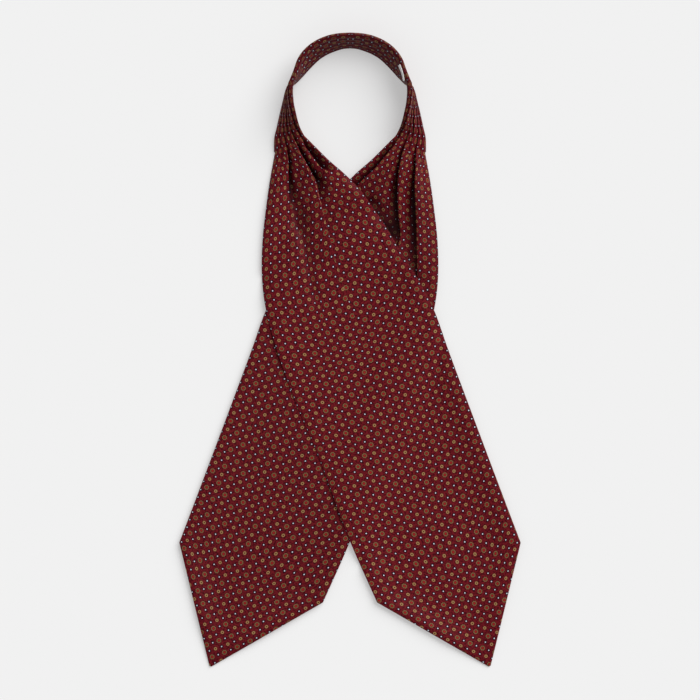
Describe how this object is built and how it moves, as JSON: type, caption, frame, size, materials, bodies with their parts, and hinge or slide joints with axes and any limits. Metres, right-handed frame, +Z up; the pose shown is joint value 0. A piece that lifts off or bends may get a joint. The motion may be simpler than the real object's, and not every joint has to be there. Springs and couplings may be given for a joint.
{
  "type": "silk day cravat",
  "caption": "Self-tie neck cravat laid flat: a narrow pleated band stands in a loop, and two wide pointed blades open from its ends and cross.",
  "frame": {"origin": "on the table, under the middle of the cravat's bounding box", "axes": "+Y along the cravat towards the back of the neck band, +X to the right as seen from above with the neck band at the top, +Z up from the table"},
  "size_m": [0.3258, 0.6045, 0.029],
  "materials": {
    "silk": "printed burgundy silk twill with a small neat, soft sheen",
    "label": "plain white woven tape"
  },
  "bodies": {
    "root": {"blade_over": "silk", "blade_under": "silk", "neck_left": "silk", "neck_right": "silk", "label": "label"}
  },
  "joints": []
}
